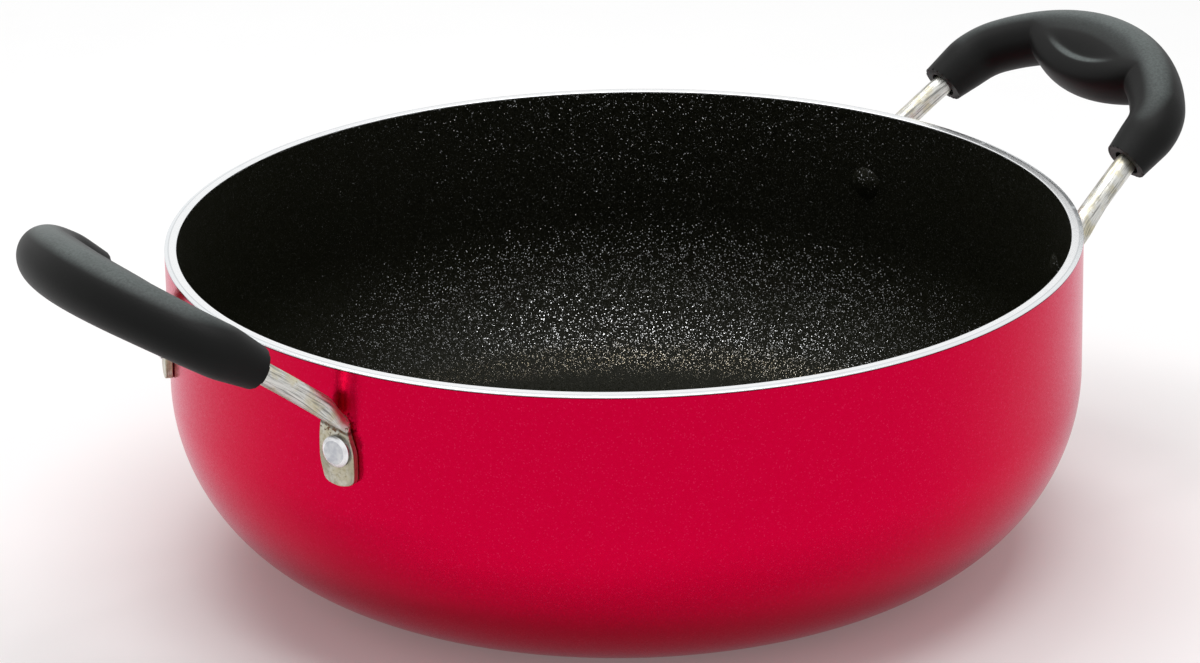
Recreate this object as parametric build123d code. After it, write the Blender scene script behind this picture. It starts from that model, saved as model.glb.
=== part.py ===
from build123d import *
import os
from math import atan2, cos, degrees, pi, radians, sin, sqrt

# A deep two-handled pan with a flat base, a round corner and an upright wall.
# Each side handle is one steel rod, bent to a bow and flattened to an ear at
# both ends. A moulded grip in two halves closes round the rod's bow.
# Lengths are in millimetres and angles in degrees. The origin is the centre of
# the base, +Z is up, and the handles lie on +X and -X.

# Pan
rim_radius = 130.0
pan_height = 93.6
wall = 3.4
corner_radius = 54.0
rim_bevel = 0.4

# Handle layout, in the tilted plane that holds the rod's bow
ear_angle = 22.0
handle_tilt = 33.3
rod_drop = 5.5
rod_reach = 51.8
arm_reach = 27.1
bend_radius = 16.3
arm_turn_angle = 8.1

# Rod and its ears
rod_radius = 3.1
ear_width = 12.0
ear_thickness = 2.2
ear_seat_gap = 0.05
ear_below_rivet = 9.7
ear_bend_along_rod = 11.0
ear_bend_down = 5.5
forging_step = 0.12
forging_lap = 1.0

# Rivets
rivet_drop = 22.9
shank_radius = 2.5
shank_clearance = 0.05
outer_head_radius = 4.2
outer_head_height = 1.8
outer_head_bevel = 0.6
inner_head_radius = 5.0
inner_head_height = 1.6

# Grip
grip_half_width = 8.1
grip_half_thickness = 8.0
mouth_half_width = 7.0
mouth_half_thickness = 6.4
mouth_reach = 17.2
mouth_rounding = 1.8
lobe_width = 18.9
lobe_edge_radius = 49.5
rod_channel_clearance = 0.05
mouth_cavity_clearance = 1.1
mouth_cavity_depth = 4.0

# Thumb recess in the upper half of the grip
recess_inset = 10.2
recess_half_length = 19.5
recess_half_width = 6.2
recess_depth = 1.5

# Screws that hold the halves together, driven from below
screw_inset = 12.0
screw_spacing = 26.0
screw_radius = 1.5
screw_length = 8.0
screw_head_radius = 2.7
screw_head_height = 1.9
screw_slot_width = 0.8
screw_slot_depth = 0.9
screw_seat_depth = 4.0
screw_clearance = 0.05
screw_head_clearance = 0.4

# One overrun for all cuts
overrun = 5.0

# Where the sections of the grip stand, as shares of the half bow from its
# middle to the mouth, and how far the straight mouth end is rounded over
bow_station_shares = (0.0, 0.11, 0.22, 0.32, 0.39, 0.45, 0.54, 0.66, 0.78, 0.9)
mouth_station_shares = (0.0, 0.3, 1.0)

# How many points a closed section has
grip_point_count = 20
ear_point_count = 24


def on_pan(angle, radius, height):
    """The point of the pan at an angle from the handle's axis."""
    a = radians(angle)
    return Vector(radius * cos(a), radius * sin(a), height)


def handle_plane():
    """The tilted plane of the bow: x runs outward, y sideways."""
    a = radians(handle_tilt)
    origin = (rim_radius, 0, pan_height - rod_drop)
    return Plane(origin=origin, x_dir=(cos(a), 0, sin(a)), z_dir=(-sin(a), 0, cos(a)))


def ear_centre_radius():
    """The radius from the pan's axis to the middle of the ear's plate."""
    return rim_radius + ear_seat_gap + ear_thickness / 2


def ear_corner():
    """Where the rod's arm would meet the middle of the ear, in the bow's plane."""
    top = on_pan(ear_angle, ear_centre_radius(), 0)
    return Vector((top.X - rim_radius) / cos(radians(handle_tilt)), top.Y, 0)


def bow_geometry():
    """The arm's direction, its end, and the centres of the bend and the crown.

    The arm runs straight to its reach, the bend is tangent to it, and the
    crown is the arc through the middle of the bow that is tangent to the bend.
    """
    corner = ear_corner()
    a = radians(arm_turn_angle)
    along = Vector(cos(a), -sin(a), 0)
    inward = Vector(along.Y, -along.X, 0)
    arm_end = corner + along * ((arm_reach - corner.X) / along.X)
    bend_centre = arm_end + inward * bend_radius
    back = rod_reach - bend_centre.X
    span = back * back + bend_centre.Y ** 2 - bend_radius ** 2
    crown_radius = span / (2 * (back - bend_radius))
    return along, arm_end, bend_centre, Vector(rod_reach - crown_radius, 0, 0)


def bow_half():
    """One side of the bow, from its middle to the end of the arm, as edges."""
    along, arm_end, bend_centre, crown_centre = bow_geometry()
    crown_radius = rod_reach - crown_centre.X
    out = (bend_centre - crown_centre).normalized()
    crown_angle = atan2(out.Y, out.X)
    crown_end = crown_centre + out * crown_radius
    half_way = Vector(cos(crown_angle / 2), sin(crown_angle / 2), 0)
    crown_middle = crown_centre + half_way * crown_radius
    normal = (arm_end - bend_centre).normalized()
    bend_middle = bend_centre + (normal + out).normalized() * bend_radius
    crown = ThreePointArc(Vector(rod_reach, 0, 0), crown_middle, crown_end)
    bend = ThreePointArc(crown_end, bend_middle, arm_end)
    return crown, bend


def arm_point(reach):
    """The point of the arm's axis at a reach from the wall."""
    along, arm_end, bend_centre, crown_centre = bow_geometry()
    return arm_end - along * ((arm_end.X - reach) / along.X)


def bent_bar(section, end_reach):
    """A bar of one section along the bow: a crown, two bends and two arms."""
    along, arm_end, bend_centre, crown_centre = bow_geometry()
    crown, bend = bow_half()
    out = (bend_centre - crown_centre).normalized()
    crown_turn = degrees(atan2(out.Y, out.X))
    arm_turn = 90 - degrees(atan2(-along.Y, along.X))
    start = Plane(origin=crown @ 1, x_dir=out, z_dir=crown % 1) * section
    crown_bar = revolve(start, Axis(crown_centre, (0, 0, 1)), -2 * crown_turn)
    bend_bar = revolve(start, Axis(bend_centre, (0, 0, 1)), arm_turn - crown_turn)
    arm_plane = Plane(origin=arm_end, x_dir=arm_end - bend_centre, z_dir=-along)
    arm_bar = arm_plane * extrude(section, (arm_end - arm_point(end_reach)).length)
    side = bend_bar + arm_bar
    return crown_bar + side + mirror(side, about=Plane.XZ)


def closed_section(plane, outer, inner, thick, squareness, count):
    """A closed smooth section: x is inward, y is across the bow's plane."""
    points = []
    for i in range(count):
        turn = 2 * pi * i / count
        c = cos(turn)
        s = sin(turn)
        half = inner if c > 0 else outer
        x = half * abs(c) ** (2 / squareness)
        y = thick * abs(s) ** (2 / squareness)
        x = x if c > 0 else -x
        y = y if s > 0 else -y
        points.append(plane.from_local_coords(Vector(x, y, 0)))
    return Face(Wire([Spline(points, periodic=True)]))


# Pan

def pan_body():
    """The wall and base as one spun shell, with the rivet holes drilled."""
    base_radius = rim_radius - corner_radius
    inner = rim_radius - wall
    inner_corner = corner_radius - wall
    share = sqrt(1 / 2)
    low = corner_radius * (1 - share)
    low_inner = corner_radius - inner_corner * share
    outer_arc = ThreePointArc(
        (base_radius, 0),
        (base_radius + corner_radius * share, low),
        (rim_radius, corner_radius))
    inner_arc = ThreePointArc(
        (inner, corner_radius),
        (base_radius + inner_corner * share, low_inner),
        (base_radius, wall))
    rim = Polyline(
        (rim_radius, corner_radius),
        (rim_radius, pan_height - rim_bevel),
        (rim_radius - rim_bevel, pan_height),
        (inner + rim_bevel, pan_height),
        (inner, pan_height - rim_bevel),
        (inner, corner_radius))
    floor = Polyline((base_radius, wall), (0, wall), (0, 0), (base_radius, 0))
    profile = make_face([outer_arc, rim, inner_arc, floor])
    body = revolve(Plane.XZ * profile, Axis.Z)
    for angle in rivet_angles():
        body -= rivet_bore(angle)
    return body


def rivet_angles():
    """The angles of the four rivets round the pan."""
    return [side + sign * ear_angle for side in (0, 180) for sign in (1, -1)]


def radial_plane(angle, radius):
    """A plane at rivet height whose z runs outward from the pan's axis."""
    a = radians(angle)
    origin = on_pan(angle, radius, pan_height - rivet_drop)
    return Plane(origin=origin, x_dir=(-sin(a), cos(a), 0), z_dir=(cos(a), sin(a), 0))


def disc(plane, radius, height, bevel=0):
    """A round disc that stands on a plane, with its top edge bevelled."""
    solid = plane * extrude(Circle(radius), height)
    if bevel > 0:
        top = solid.faces().sort_by(Axis(plane.origin, plane.z_dir))[-1]
        solid = chamfer(top.edges(), bevel)
    return solid


def rivet_bore(angle):
    """The hole for a rivet's shank, through the wall and the ear."""
    depth = wall + ear_thickness + 2 * overrun
    start = rim_radius - wall - overrun
    return disc(radial_plane(angle, start), shank_radius + shank_clearance, depth)


# Rod

def rod_with_ears():
    """The handle's rod on +X: the bow, two forged bends and two flat ears."""
    plane = handle_plane()
    corner = ear_corner()
    arm_start = arm_point(corner.X + ear_bend_along_rod)
    rod = plane.location * bent_bar(Circle(rod_radius), arm_start.X - forging_lap)
    ear = forged_ear(plane.from_local_coords(corner), plane.from_local_coords(arm_start))
    rod += ear
    rod += mirror(ear, about=Plane.XZ)
    for sign in (1, -1):
        rod -= rivet_bore(sign * ear_angle)
    return rod


def forged_ear(corner, arm_start):
    """The rod's end: a bend that flattens as it turns down, then the plate.

    The bend follows a quadratic curve from the arm, round the corner, into
    the plate. It is a little thicker than the rod and thinner than the plate,
    and laps both, so that each joint shows the small step of a forging.
    """
    a = radians(ear_angle)
    down = Vector(0, 0, -1)
    across_ear = Vector(-sin(a), cos(a), 0)
    plate_top = corner + down * ear_bend_down
    bend_end = plate_top + down * forging_lap
    across_arm = (corner - arm_start).cross(handle_plane().z_dir).normalized()
    round_half = rod_radius + forging_step
    wide_half = ear_width / 2 - forging_step
    flat_half = ear_thickness / 2 - forging_step
    flattening_shares = (0.0, 0.1, 0.5, 0.93, 1.0)
    round_squareness = 2
    plate_squareness = 4
    sections = []
    for i, share in enumerate(flattening_shares):
        t = i / (len(flattening_shares) - 1)
        centre = arm_start * (1 - t) ** 2 + corner * (2 * t * (1 - t)) + bend_end * t ** 2
        ahead = (corner - arm_start) * (1 - t) + (bend_end - corner) * t
        across = across_arm * (1 - t) + across_ear * t
        width = round_half + (wide_half - round_half) * share
        thick = round_half + (flat_half - round_half) * share
        square = round_squareness + (plate_squareness - round_squareness) * share
        plane = Plane(origin=centre, x_dir=across, z_dir=ahead)
        sections.append(closed_section(plane, width, width, thick, square, ear_point_count))
    return loft(sections) + ear_plate(plate_top)


def ear_plate(plate_top):
    """The flat plate that the rivet holds, with a rounded tip."""
    tip = pan_height - rivet_drop - ear_below_rivet
    length = plate_top.Z - tip
    wall_plane = radial_plane(ear_angle, rim_radius)
    tip_middle = Vector(plate_top.X, plate_top.Y, tip)
    plane = Plane(origin=tip_middle, x_dir=wall_plane.x_dir, z_dir=wall_plane.z_dir)
    plane = plane.offset(-ear_thickness / 2)
    outline = Rectangle(ear_width, length, align=(Align.CENTER, Align.MIN))
    low_corners = outline.vertices().group_by(Axis.Y)[0]
    tip_radius_share = 0.42
    outline = fillet(low_corners, ear_width * tip_radius_share)
    plate = plane * extrude(outline, ear_thickness)
    edge_bevel_share = 0.12
    outer_face = plate.faces().sort_by(Axis(plane.origin, plane.z_dir))[-1]
    rim_edges = [e for e in outer_face.edges() if e.center().Z < plate_top.Z - ear_thickness]
    return chamfer(rim_edges, ear_thickness * edge_bevel_share)


# Rivets

def rivet(angle):
    """A rivet: flat bevelled head outside, shank, low round head inside."""
    ear_face = rim_radius + ear_seat_gap + ear_thickness
    inner_face = rim_radius - wall
    outer = disc(radial_plane(angle, ear_face), outer_head_radius, outer_head_height, outer_head_bevel)
    shank = disc(radial_plane(angle, inner_face - inner_head_height / 2), shank_radius,
                 ear_face - inner_face + inner_head_height)
    return outer + shank + inner_head(angle)


def inner_head(angle):
    """The low round head that bears on the curved inside of the wall."""
    inner_face = rim_radius - wall
    sphere_radius = (inner_head_radius ** 2 + inner_head_height ** 2) / (2 * inner_head_height)
    centre = radial_plane(angle, inner_face - inner_head_height + sphere_radius)
    dome = centre.location * Sphere(sphere_radius)
    room = radial_plane(angle, inner_face - inner_head_height)
    dome &= disc(room, inner_head_radius, 2 * inner_head_height)
    bore = Cylinder(inner_face, 2 * pan_height)
    return dome & bore


# Grip

def lobe_inner_width(angle, crown_radius):
    """How far the grip runs inward of the rod's axis along a ray of the crown.

    The lobe's edge is an arc about a centre on the handle's axis. Where that
    arc has passed the plain grip's edge, the plain width holds.
    """
    distance = crown_radius - lobe_width + lobe_edge_radius
    side = distance * sin(angle)
    if abs(side) >= lobe_edge_radius:
        return grip_half_width
    edge = distance * cos(angle) - sqrt(lobe_edge_radius ** 2 - side ** 2)
    return max(grip_half_width, crown_radius - edge)


def grip_sections():
    """The grip's sections on one side, from the middle of the bow to the mouth."""
    along, arm_end, bend_centre, crown_centre = bow_geometry()
    crown, bend = bow_half()
    mouth = arm_point(mouth_reach)
    path = Wire([crown, bend, Line(bend @ 1, mouth)])
    taper_start = (crown.length + bend.length) / path.length
    round_squareness = 2.1
    lobe_squareness = 2.7
    end_share = 1 - mouth_rounding / path.length
    shares = [s * end_share for s in bow_station_shares]
    shares += [end_share + s * (1 - end_share) for s in mouth_station_shares]
    sections = []
    for share in shares:
        point = path @ share
        ahead = path % share
        inward = Vector(0, 0, 1).cross(ahead)
        ray = point - crown_centre
        inner = lobe_inner_width(atan2(ray.Y, ray.X), rod_reach - crown_centre.X)
        taper = max(0, (share - taper_start) / (1 - taper_start))
        outer = grip_half_width + (mouth_half_width - grip_half_width) * taper
        thick = grip_half_thickness + (mouth_half_thickness - grip_half_thickness) * taper
        inner -= grip_half_width - outer
        closing = max(0, (share - end_share) / (1 - end_share))
        cut = mouth_rounding * (1 - sqrt(1 - closing ** 2)) / 2
        swell = (inner - outer) / lobe_width
        square = round_squareness + (lobe_squareness - round_squareness) * swell
        plane = Plane(origin=point, x_dir=inward, z_dir=ahead)
        section = closed_section(plane, outer - cut, inner - cut, thick - cut, square, grip_point_count)
        sections.append(section)
    return sections


def grip_solid():
    """Both halves of the grip as one form, before the rod's channel is cut."""
    side = grip_sections()
    other = [face.mirror(Plane.XZ) for face in reversed(side[1:])]
    return loft([Face(f.outer_wire()) for f in other + side])


def rod_channel():
    """The room for the rod: a square channel, and a round hole at each mouth."""
    mouth = arm_point(mouth_reach - overrun)
    side = 2 * (rod_radius + rod_channel_clearance)
    channel = bent_bar(Rectangle(side, side), mouth.X)
    cavity_end = arm_point(mouth_reach + mouth_cavity_depth)
    cavity_plane = Plane(origin=mouth, z_dir=cavity_end - mouth)
    hole = Circle(rod_radius + mouth_cavity_clearance)
    cavity = cavity_plane * extrude(hole, (cavity_end - mouth).length)
    return channel + cavity + mirror(cavity, about=Plane.XZ)


def thumb_recess():
    """An oval dish, cut into the top of the lobe."""
    depth_radius = 2 * recess_depth
    flat_share = sqrt(1 - ((depth_radius - recess_depth) / depth_radius) ** 2)
    along = recess_half_width / flat_share
    across = recess_half_length / flat_share
    ball = scale(Sphere(depth_radius), by=(along / depth_radius, across / depth_radius, 1))
    top = grip_half_thickness - recess_depth + depth_radius
    return Pos(rod_reach - recess_inset, 0, top) * ball


def half_space(sign):
    """A block that holds all of the grip above or below the parting plane."""
    length = 2 * (rod_reach + grip_half_width + overrun)
    height = 2 * grip_half_thickness
    return Pos(0, 0, sign * height / 2) * Box(length, 2 * rim_radius, height)


def screw_places():
    """The two screws of a grip, side by side in the lobe."""
    reach = rod_reach - screw_inset
    return [Vector(reach, sign * screw_spacing / 2, 0) for sign in (1, -1)]


def grip_upper():
    """The upper half of the grip, in the bow's plane."""
    half = (grip_solid() & half_space(1)) - rod_channel() - thumb_recess()
    tip = screw_length - screw_seat_depth
    for place in screw_places():
        half -= Pos(place) * extrude(Circle(screw_radius + screw_clearance), tip + screw_clearance)
    return half


def grip_lower():
    """The lower half of the grip, with the sunk seats of its two screws."""
    half = (grip_solid() & half_space(-1)) - rod_channel()
    for place in screw_places():
        half -= Pos(place) * extrude(Circle(screw_radius + screw_clearance), -screw_seat_depth)
        seat = Pos(place.X, place.Y, -screw_seat_depth)
        sink = grip_half_thickness - screw_seat_depth + overrun
        half -= seat * extrude(Circle(screw_head_radius + screw_head_clearance), -sink)
    return half


def screw(place):
    """A slotted pan-head screw, its head down on the seat in the lower half."""
    tip = screw_length - screw_seat_depth
    seat = Pos(place.X, place.Y, -screw_seat_depth)
    shank = seat * extrude(Circle(screw_radius), screw_seat_depth + tip)
    head = seat * extrude(Circle(screw_head_radius), -screw_head_height)
    edge = head.faces().sort_by(Axis.Z)[0].edges()
    bevel_share = 0.3
    head = chamfer(edge, screw_head_height * bevel_share)
    slot = Pos(place.X, place.Y, -screw_seat_depth - screw_head_height)
    slot = slot * Box(2 * screw_head_radius, screw_slot_width, 2 * screw_slot_depth)
    return shank + head - slot


# Assembly

def handle_pieces():
    """The pieces of the handle on +X, by name: the rear ones are on +Y."""
    place = handle_plane().location
    pieces = {"handle_rod": rod_with_ears()}
    pieces["grip_upper"] = place * grip_upper()
    pieces["grip_lower"] = place * grip_lower()
    for end, spot in zip(("rear", "front"), screw_places()):
        pieces["grip_screw_" + end] = place * screw(spot)
    for end, sign in (("rear", 1), ("front", -1)):
        pieces["rivet_" + end] = rivet(sign * ear_angle)
    return pieces


def turned_name(name):
    """The name that a piece has when its handle is turned half round."""
    turned = {"rear": "front", "front": "rear"}
    return "_".join(turned.get(word, word) for word in name.split("_"))


def all_pieces():
    """Every piece of the pan: the left handle is the right one turned round."""
    pieces = {"pan_body": pan_body()}
    for name, solid in handle_pieces().items():
        pieces[name + "_right"] = solid
        pieces[turned_name(name) + "_left"] = Rot(0, 0, 180) * solid
    return pieces


os.makedirs("parts", exist_ok=True)
for node, solid in all_pieces().items():
    export_step(solid, "parts/" + node + ".step")
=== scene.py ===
"""The looks of a kadai: a spun pan, riveted rods with moulded grips, and their finishes.

Every length is in metres, in the frame of the packed part: +Z is up, the base stands on
Z = 0, and the handles lie on +X and -X.
"""

from math import acos, atan2, cos, hypot, pi, radians, sin, sqrt

import bmesh
import bpy
from bpy.props import FloatProperty, FloatVectorProperty, IntProperty, PointerProperty
from mathutils import Matrix, Quaternion, Vector


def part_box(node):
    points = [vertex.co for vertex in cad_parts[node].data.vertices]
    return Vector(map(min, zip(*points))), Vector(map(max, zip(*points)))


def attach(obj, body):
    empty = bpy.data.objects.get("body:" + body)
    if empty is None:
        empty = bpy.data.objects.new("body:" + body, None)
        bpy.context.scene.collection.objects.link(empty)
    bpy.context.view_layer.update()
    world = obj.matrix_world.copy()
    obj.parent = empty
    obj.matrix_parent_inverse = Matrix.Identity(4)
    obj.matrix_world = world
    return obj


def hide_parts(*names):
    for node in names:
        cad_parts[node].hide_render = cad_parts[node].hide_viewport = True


bl_info = {
    "name": "Kadai looks",
    "version": (1, 0, 0),
    "blender": (4, 5, 0),
    "location": "View3D > Sidebar > Kadai",
    "description": "Models and finishes a kadai round its packed parts",
    "category": "Object",
}

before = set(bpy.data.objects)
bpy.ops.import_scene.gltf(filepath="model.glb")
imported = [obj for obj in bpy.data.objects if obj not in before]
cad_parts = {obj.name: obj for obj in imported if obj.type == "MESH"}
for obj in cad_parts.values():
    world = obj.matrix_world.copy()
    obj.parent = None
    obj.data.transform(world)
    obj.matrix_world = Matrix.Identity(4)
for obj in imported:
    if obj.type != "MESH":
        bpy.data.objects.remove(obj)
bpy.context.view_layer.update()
MM = 0.001
PAN_LOW, PAN_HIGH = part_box("pan_body")
SIDES = ("right", "left")
ENDS = ("rear", "front")


# Settings

def length(name, description, size):
    """A length in millimetres as a property in metres."""
    return FloatProperty(name=name, description=description, default=size * MM, unit="LENGTH", precision=5)


def turn(name, description, size):
    """An angle in degrees as a property."""
    return FloatProperty(name=name, description=description, default=radians(size), subtype="ANGLE")


def share(name, description, value):
    """A plain number as a property."""
    return FloatProperty(name=name, description=description, default=value)


def colour(name, description, value):
    """A linear colour as a property."""
    return FloatVectorProperty(name=name, description=description, default=value, size=3,
                               subtype="COLOR", min=0.0, max=1.0)


def point(name, description, value):
    """A place in metres as a property."""
    return FloatVectorProperty(name=name, description=description, default=value, size=3,
                               subtype="TRANSLATION")


class KadaiPanSizes(bpy.types.PropertyGroup):
    """The sizes of the spun pan."""
    radius: FloatProperty(name="Rim radius", description="Outer radius of the wall",
                          default=(PAN_HIGH[0] - PAN_LOW[0]) / 2, unit="LENGTH", precision=5)
    height: FloatProperty(name="Height", description="Height of the rim over the base",
                          default=PAN_HIGH[2], unit="LENGTH", precision=5)
    wall: length("Wall", "Thickness of the wall and the base", 3.4)
    corner: length("Corner radius", "Outer radius of the corner between base and wall", 54)
    rim_round: length("Rim rounding", "How far the ground rim is rounded at each side", 0.2)
    rim_bare: length("Bare rim", "How far the lacquer stops under the rim", 0.1)
    rim_bevel: length("Rim bevel", "Width of the bevel at the rim's outer side", 1.15)
    rim_fall: length("Rim fall", "How far the bevel falls", 0.2)
    steps: IntProperty(name="Steps", description="Steps of the spin", default=288)


class KadaiHandleSizes(bpy.types.PropertyGroup):
    """The sizes of the bent rod and the place of its rivets."""
    ear_angle: turn("Ear angle", "Angle of each ear from the handle's axis", 22)
    tilt: turn("Tilt", "Rise of the bow's plane", 33.3)
    drop: length("Drop", "Depth of the bow's plane under the rim, at the wall", 5.5)
    reach: length("Reach", "Reach of the bow from the wall", 51.8)
    arm_reach: length("Arm reach", "Where the straight arms end", 27.1)
    bend_radius: length("Bend radius", "Radius of the two bends", 16.3)
    arm_turn: turn("Arm turn", "How far the arms turn in towards each other", 8.1)
    rod_radius: length("Rod radius", "Radius of the rod", 3.1)
    ear_gap: length("Ear gap", "Gap between the ear and the wall", 0.05)
    ear_thickness: length("Ear thickness", "Thickness of the flat ear", 2.2)
    ear_half_width: length("Ear half width", "Greatest half width of the ear", 5.7)
    ear_lean: length("Ear lean", "How far the ear's middle lies towards the handle's axis", 0.5)
    ear_below: length("Ear below rivet", "From the rivet's axis to the ear's tip", 10)
    ear_edge: length("Ear edge", "Rounding of the ear's edges", 0.35)
    ear_tip: length("Ear tip", "Height of the ear's rounded tip", 2.6)
    fold_half_width: length("Fold half width", "Half width of the rod at the fold", 4.6)
    fold_drop: length("Fold drop", "How far the arm sags before the fold", 1.95)
    forged: length("Forged length", "How far from the fold the rod is pressed flatter", 17)
    droop_run: length("Droop run", "Length over which the arm droops to its fold", 27)
    fold_lean: length("Fold lean", "How far the fold's middle lies from the arm's axis", 0.9)
    rivet_drop: length("Rivet drop", "Depth of the rivets under the rim", 22.9)


class KadaiGripSizes(bpy.types.PropertyGroup):
    """The sizes of the moulded grip."""
    half_width: length("Half width", "From the rod's axis to the grip's outer edge", 8.28)
    half_thickness: length("Half thickness", "From the parting plane to the top", 8.1)
    mouth_half_width: length("Mouth half width", "Half width at the mouths", 7.0)
    mouth_half_thickness: length("Mouth half thickness", "Half thickness at the mouths", 6.15)
    mouth_reach: length("Mouth reach", "How far the mouths stand off the wall", 17.3)
    mouth_bevel: length("Mouth bevel", "Rounding of the mouths' edges", 0.9)
    lobe_width: length("Lobe width", "How far the lobe runs in from the rod's axis", 18.9)
    lobe_radius: length("Lobe edge radius", "Radius of the lobe's inner edge", 49.5)
    channel_clearance: length("Channel clearance", "Gap round the rod", 0.05)
    cavity_clearance: length("Cavity clearance", "Gap round the rod at the mouths", 1.1)
    cavity_depth: length("Cavity depth", "Depth of the wide mouth", 4)
    parting_bevel: length("Parting bevel", "Bevel of the edges that meet at the parting", 0.22)
    dish_near: length("Dish near reach", "Where the ridge of the thumb dish crosses the middle", 38.4)
    dish_near_radius: length("Dish near radius", "Radius of the ridge, seen from above", 38)
    dish_near_run: length("Dish near run", "Over how much the dish falls from the ridge", 3.2)
    dish_far: length("Dish far reach", "Where the far edge of the dish crosses the middle", 48.2)
    dish_far_radius: length("Dish far radius", "Radius of the far edge, seen from above", 49.7)
    dish_far_run: length("Dish far run", "Over how much the dish rises again", 11)
    dish_depth: length("Dish depth", "Depth of the thumb dish", 1.8)
    lead: length("Lead", "How far the guide line runs past each mouth", 6)
    step: length("Station step", "Distance between two sections", 2.2)
    lower_middle: share("Lower half, middle", "Share of the thickness that the lower half has there", 1.16)
    lower_mouth: share("Lower half, mouths", "Share of the thickness that it has at the mouths", 0.86)
    lobe_square: share("Lobe squareness", "How boxy the lobe's section is, from 2, round", 3.1)


class KadaiRivetSizes(bpy.types.PropertyGroup):
    """The sizes of a set rivet."""
    shank: length("Shank radius", "Radius of the shank", 2.5)
    bore_clearance: length("Bore clearance", "Gap between shank and bore", 0.05)
    outer_head: length("Outer head radius", "Radius of the outer head", 4.4)
    outer_height: length("Outer head height", "Height of the outer head", 1.8)
    outer_bevel: length("Outer head bevel", "Bevel of the outer head", 1.1)
    inner_head: length("Inner head radius", "Radius of the inner head", 5)
    inner_height: length("Inner head height", "Height of the inner head", 1.6)
    steps: IntProperty(name="Steps", description="Steps of the spin", default=64)


class KadaiColours(bpy.types.PropertyGroup):
    """The colours of the finishes."""
    lacquer: colour("Lacquer", "Metallic lacquer outside", (0.60, 0.0006, 0.040))
    lacquer_deep: colour("Deep lacquer", "Lacquer where it lies thicker", (0.54, 0.0003, 0.028))
    # painted shade: the dark line at the top of the lacquer, under the rim
    lacquer_edge_shade: colour("Lacquer edge", "Dark line where the lacquer ends", (0.03, 0.004, 0.01))
    flake: colour("Flake", "Lacquer flakes that catch the light", (0.75, 0.03, 0.12))
    film: colour("Non-stick film", "Film inside the pan", (0.0076, 0.0078, 0.0040))
    film_flake: colour("Film flake", "Brightest mineral flakes in the film", (0.62, 0.63, 0.64))
    film_dull: colour("Dull film flake", "Dullest mineral flakes in the film", (0.05, 0.048, 0.04))
    # painted reflection: the warm tint of the film's flakes low in the pan
    film_warm_reflection: colour("Warm film flake", "Flakes low in the pan", (0.42, 0.35, 0.23))
    aluminium: colour("Aluminium", "Bare ground metal", (0.86, 0.87, 0.88))
    rim_scuff: colour("Rim scuff", "Scuffs on the rim", (0.55, 0.58, 0.60))
    # painted reflection: the darker bluish tone and the fine line on the rim's bevel
    rim_slope_reflection: colour("Rim slope", "Bevel of the rim", (0.62, 0.68, 0.71))
    rim_line_reflection: colour("Rim line", "Fine line where the bevel starts", (0.30, 0.33, 0.35))
    base_worn: colour("Worn base", "Duller patches of the base", (0.62, 0.62, 0.61))
    steel: colour("Rod steel", "Plated steel", (0.66, 0.66, 0.63))
    steel_warm: colour("Warm steel", "Yellowed plating", (0.56, 0.52, 0.38))
    steel_drawn: colour("Drawn lines", "Broad lines along the rod", (0.17, 0.17, 0.16))
    steel_fine: colour("Fine lines", "Fine lines along the rod", (0.20, 0.20, 0.19))
    ear_warm: colour("Warm ear", "Yellowed patches on the ears", (0.44, 0.40, 0.28))
    ear_stain: colour("Ear stain", "Mottling on the ears", (0.24, 0.21, 0.14))
    # painted shade: the dark brown put in the fold's crease and under the arm
    fold_crease_shade: colour("Fold dirt", "Dirt in the crease of the fold", (0.13, 0.11, 0.08))
    rust: colour("Rust", "Rust specks", (0.16, 0.07, 0.025))
    rivet_face: colour("Rivet face", "Flat of the outer heads", (0.64, 0.65, 0.66))
    rivet_face_dull: colour("Dull rivet face", "Marks on it", (0.47, 0.48, 0.52))
    # painted highlight on the rivet chamfer and painted shade on the rivet side, both of the same aluminium
    rivet_chamfer_highlight: colour("Rivet chamfer", "Bevel of the outer heads", (0.88, 0.88, 0.89))
    rivet_chamfer_highlight_dull: colour("Dull rivet chamfer", "Marks on it", (0.70, 0.70, 0.72))
    rivet_side_shade: colour("Rivet side", "Side of the outer heads", (0.34, 0.34, 0.35))
    rivet_side_shade_dull: colour("Dull rivet side", "Marks on it", (0.22, 0.22, 0.23))
    zinc_stain: colour("Stained zinc", "Dull patches on the grip screws", (0.36, 0.37, 0.40))
    plastic: colour("Grip plastic", "Moulded plastic", (0.006, 0.0062, 0.006))
    # painted highlight: the lighter grey that the grips get where they face up
    plastic_top_highlight: colour("Worn plastic", "Plastic greyed by use", (0.112, 0.128, 0.125))
    floor: colour("Floor", "Floor", (0.94, 0.94, 0.94))
    floor_light: colour("Light floor", "Lighter patches of the floor", (0.96, 0.96, 0.96))


class KadaiStageSettings(bpy.types.PropertyGroup):
    """The camera, the lamps and the floor."""
    azimuth: turn("Azimuth", "Heading of the view from +Y towards +X", 32.05)
    elevation: turn("Elevation", "How far the camera looks down", 20.62)
    distance: length("Distance", "From the camera to its aim", 1485.3)
    roll: turn("Roll", "Lean of the camera", -1.105)
    aim: point("Aim", "Point that the camera looks at", (-0.00613, 0.00384, 0.06286))
    lens: share("Lens", "Focal length in millimetres on a 36 mm sensor", 156)
    floor_size: share("Floor size", "Side of the floor in metres", 12)
    world_light: share("World light", "Strength of the light from all round", 0.38)
    floor_glow: share("Floor glow", "How far the floor is whitened where it is seen", 0.12)
    lamp_size: share("Lamp size", "Side of each lamp in metres", 0.95)
    lamp_aim: point("Lamp aim", "Point that the lamps face", (0, 0, 0.05))
    key_place: point("Key lamp", "Place of the key lamp", (0.20, -0.22, 1.55))
    key_power: share("Key power", "Power of the key lamp in watts", 11)
    top_place: point("Top lamp", "Place of the top lamp", (-0.15, 0.55, 1.50))
    top_power: share("Top power", "Power of the top lamp in watts", 10)


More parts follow.
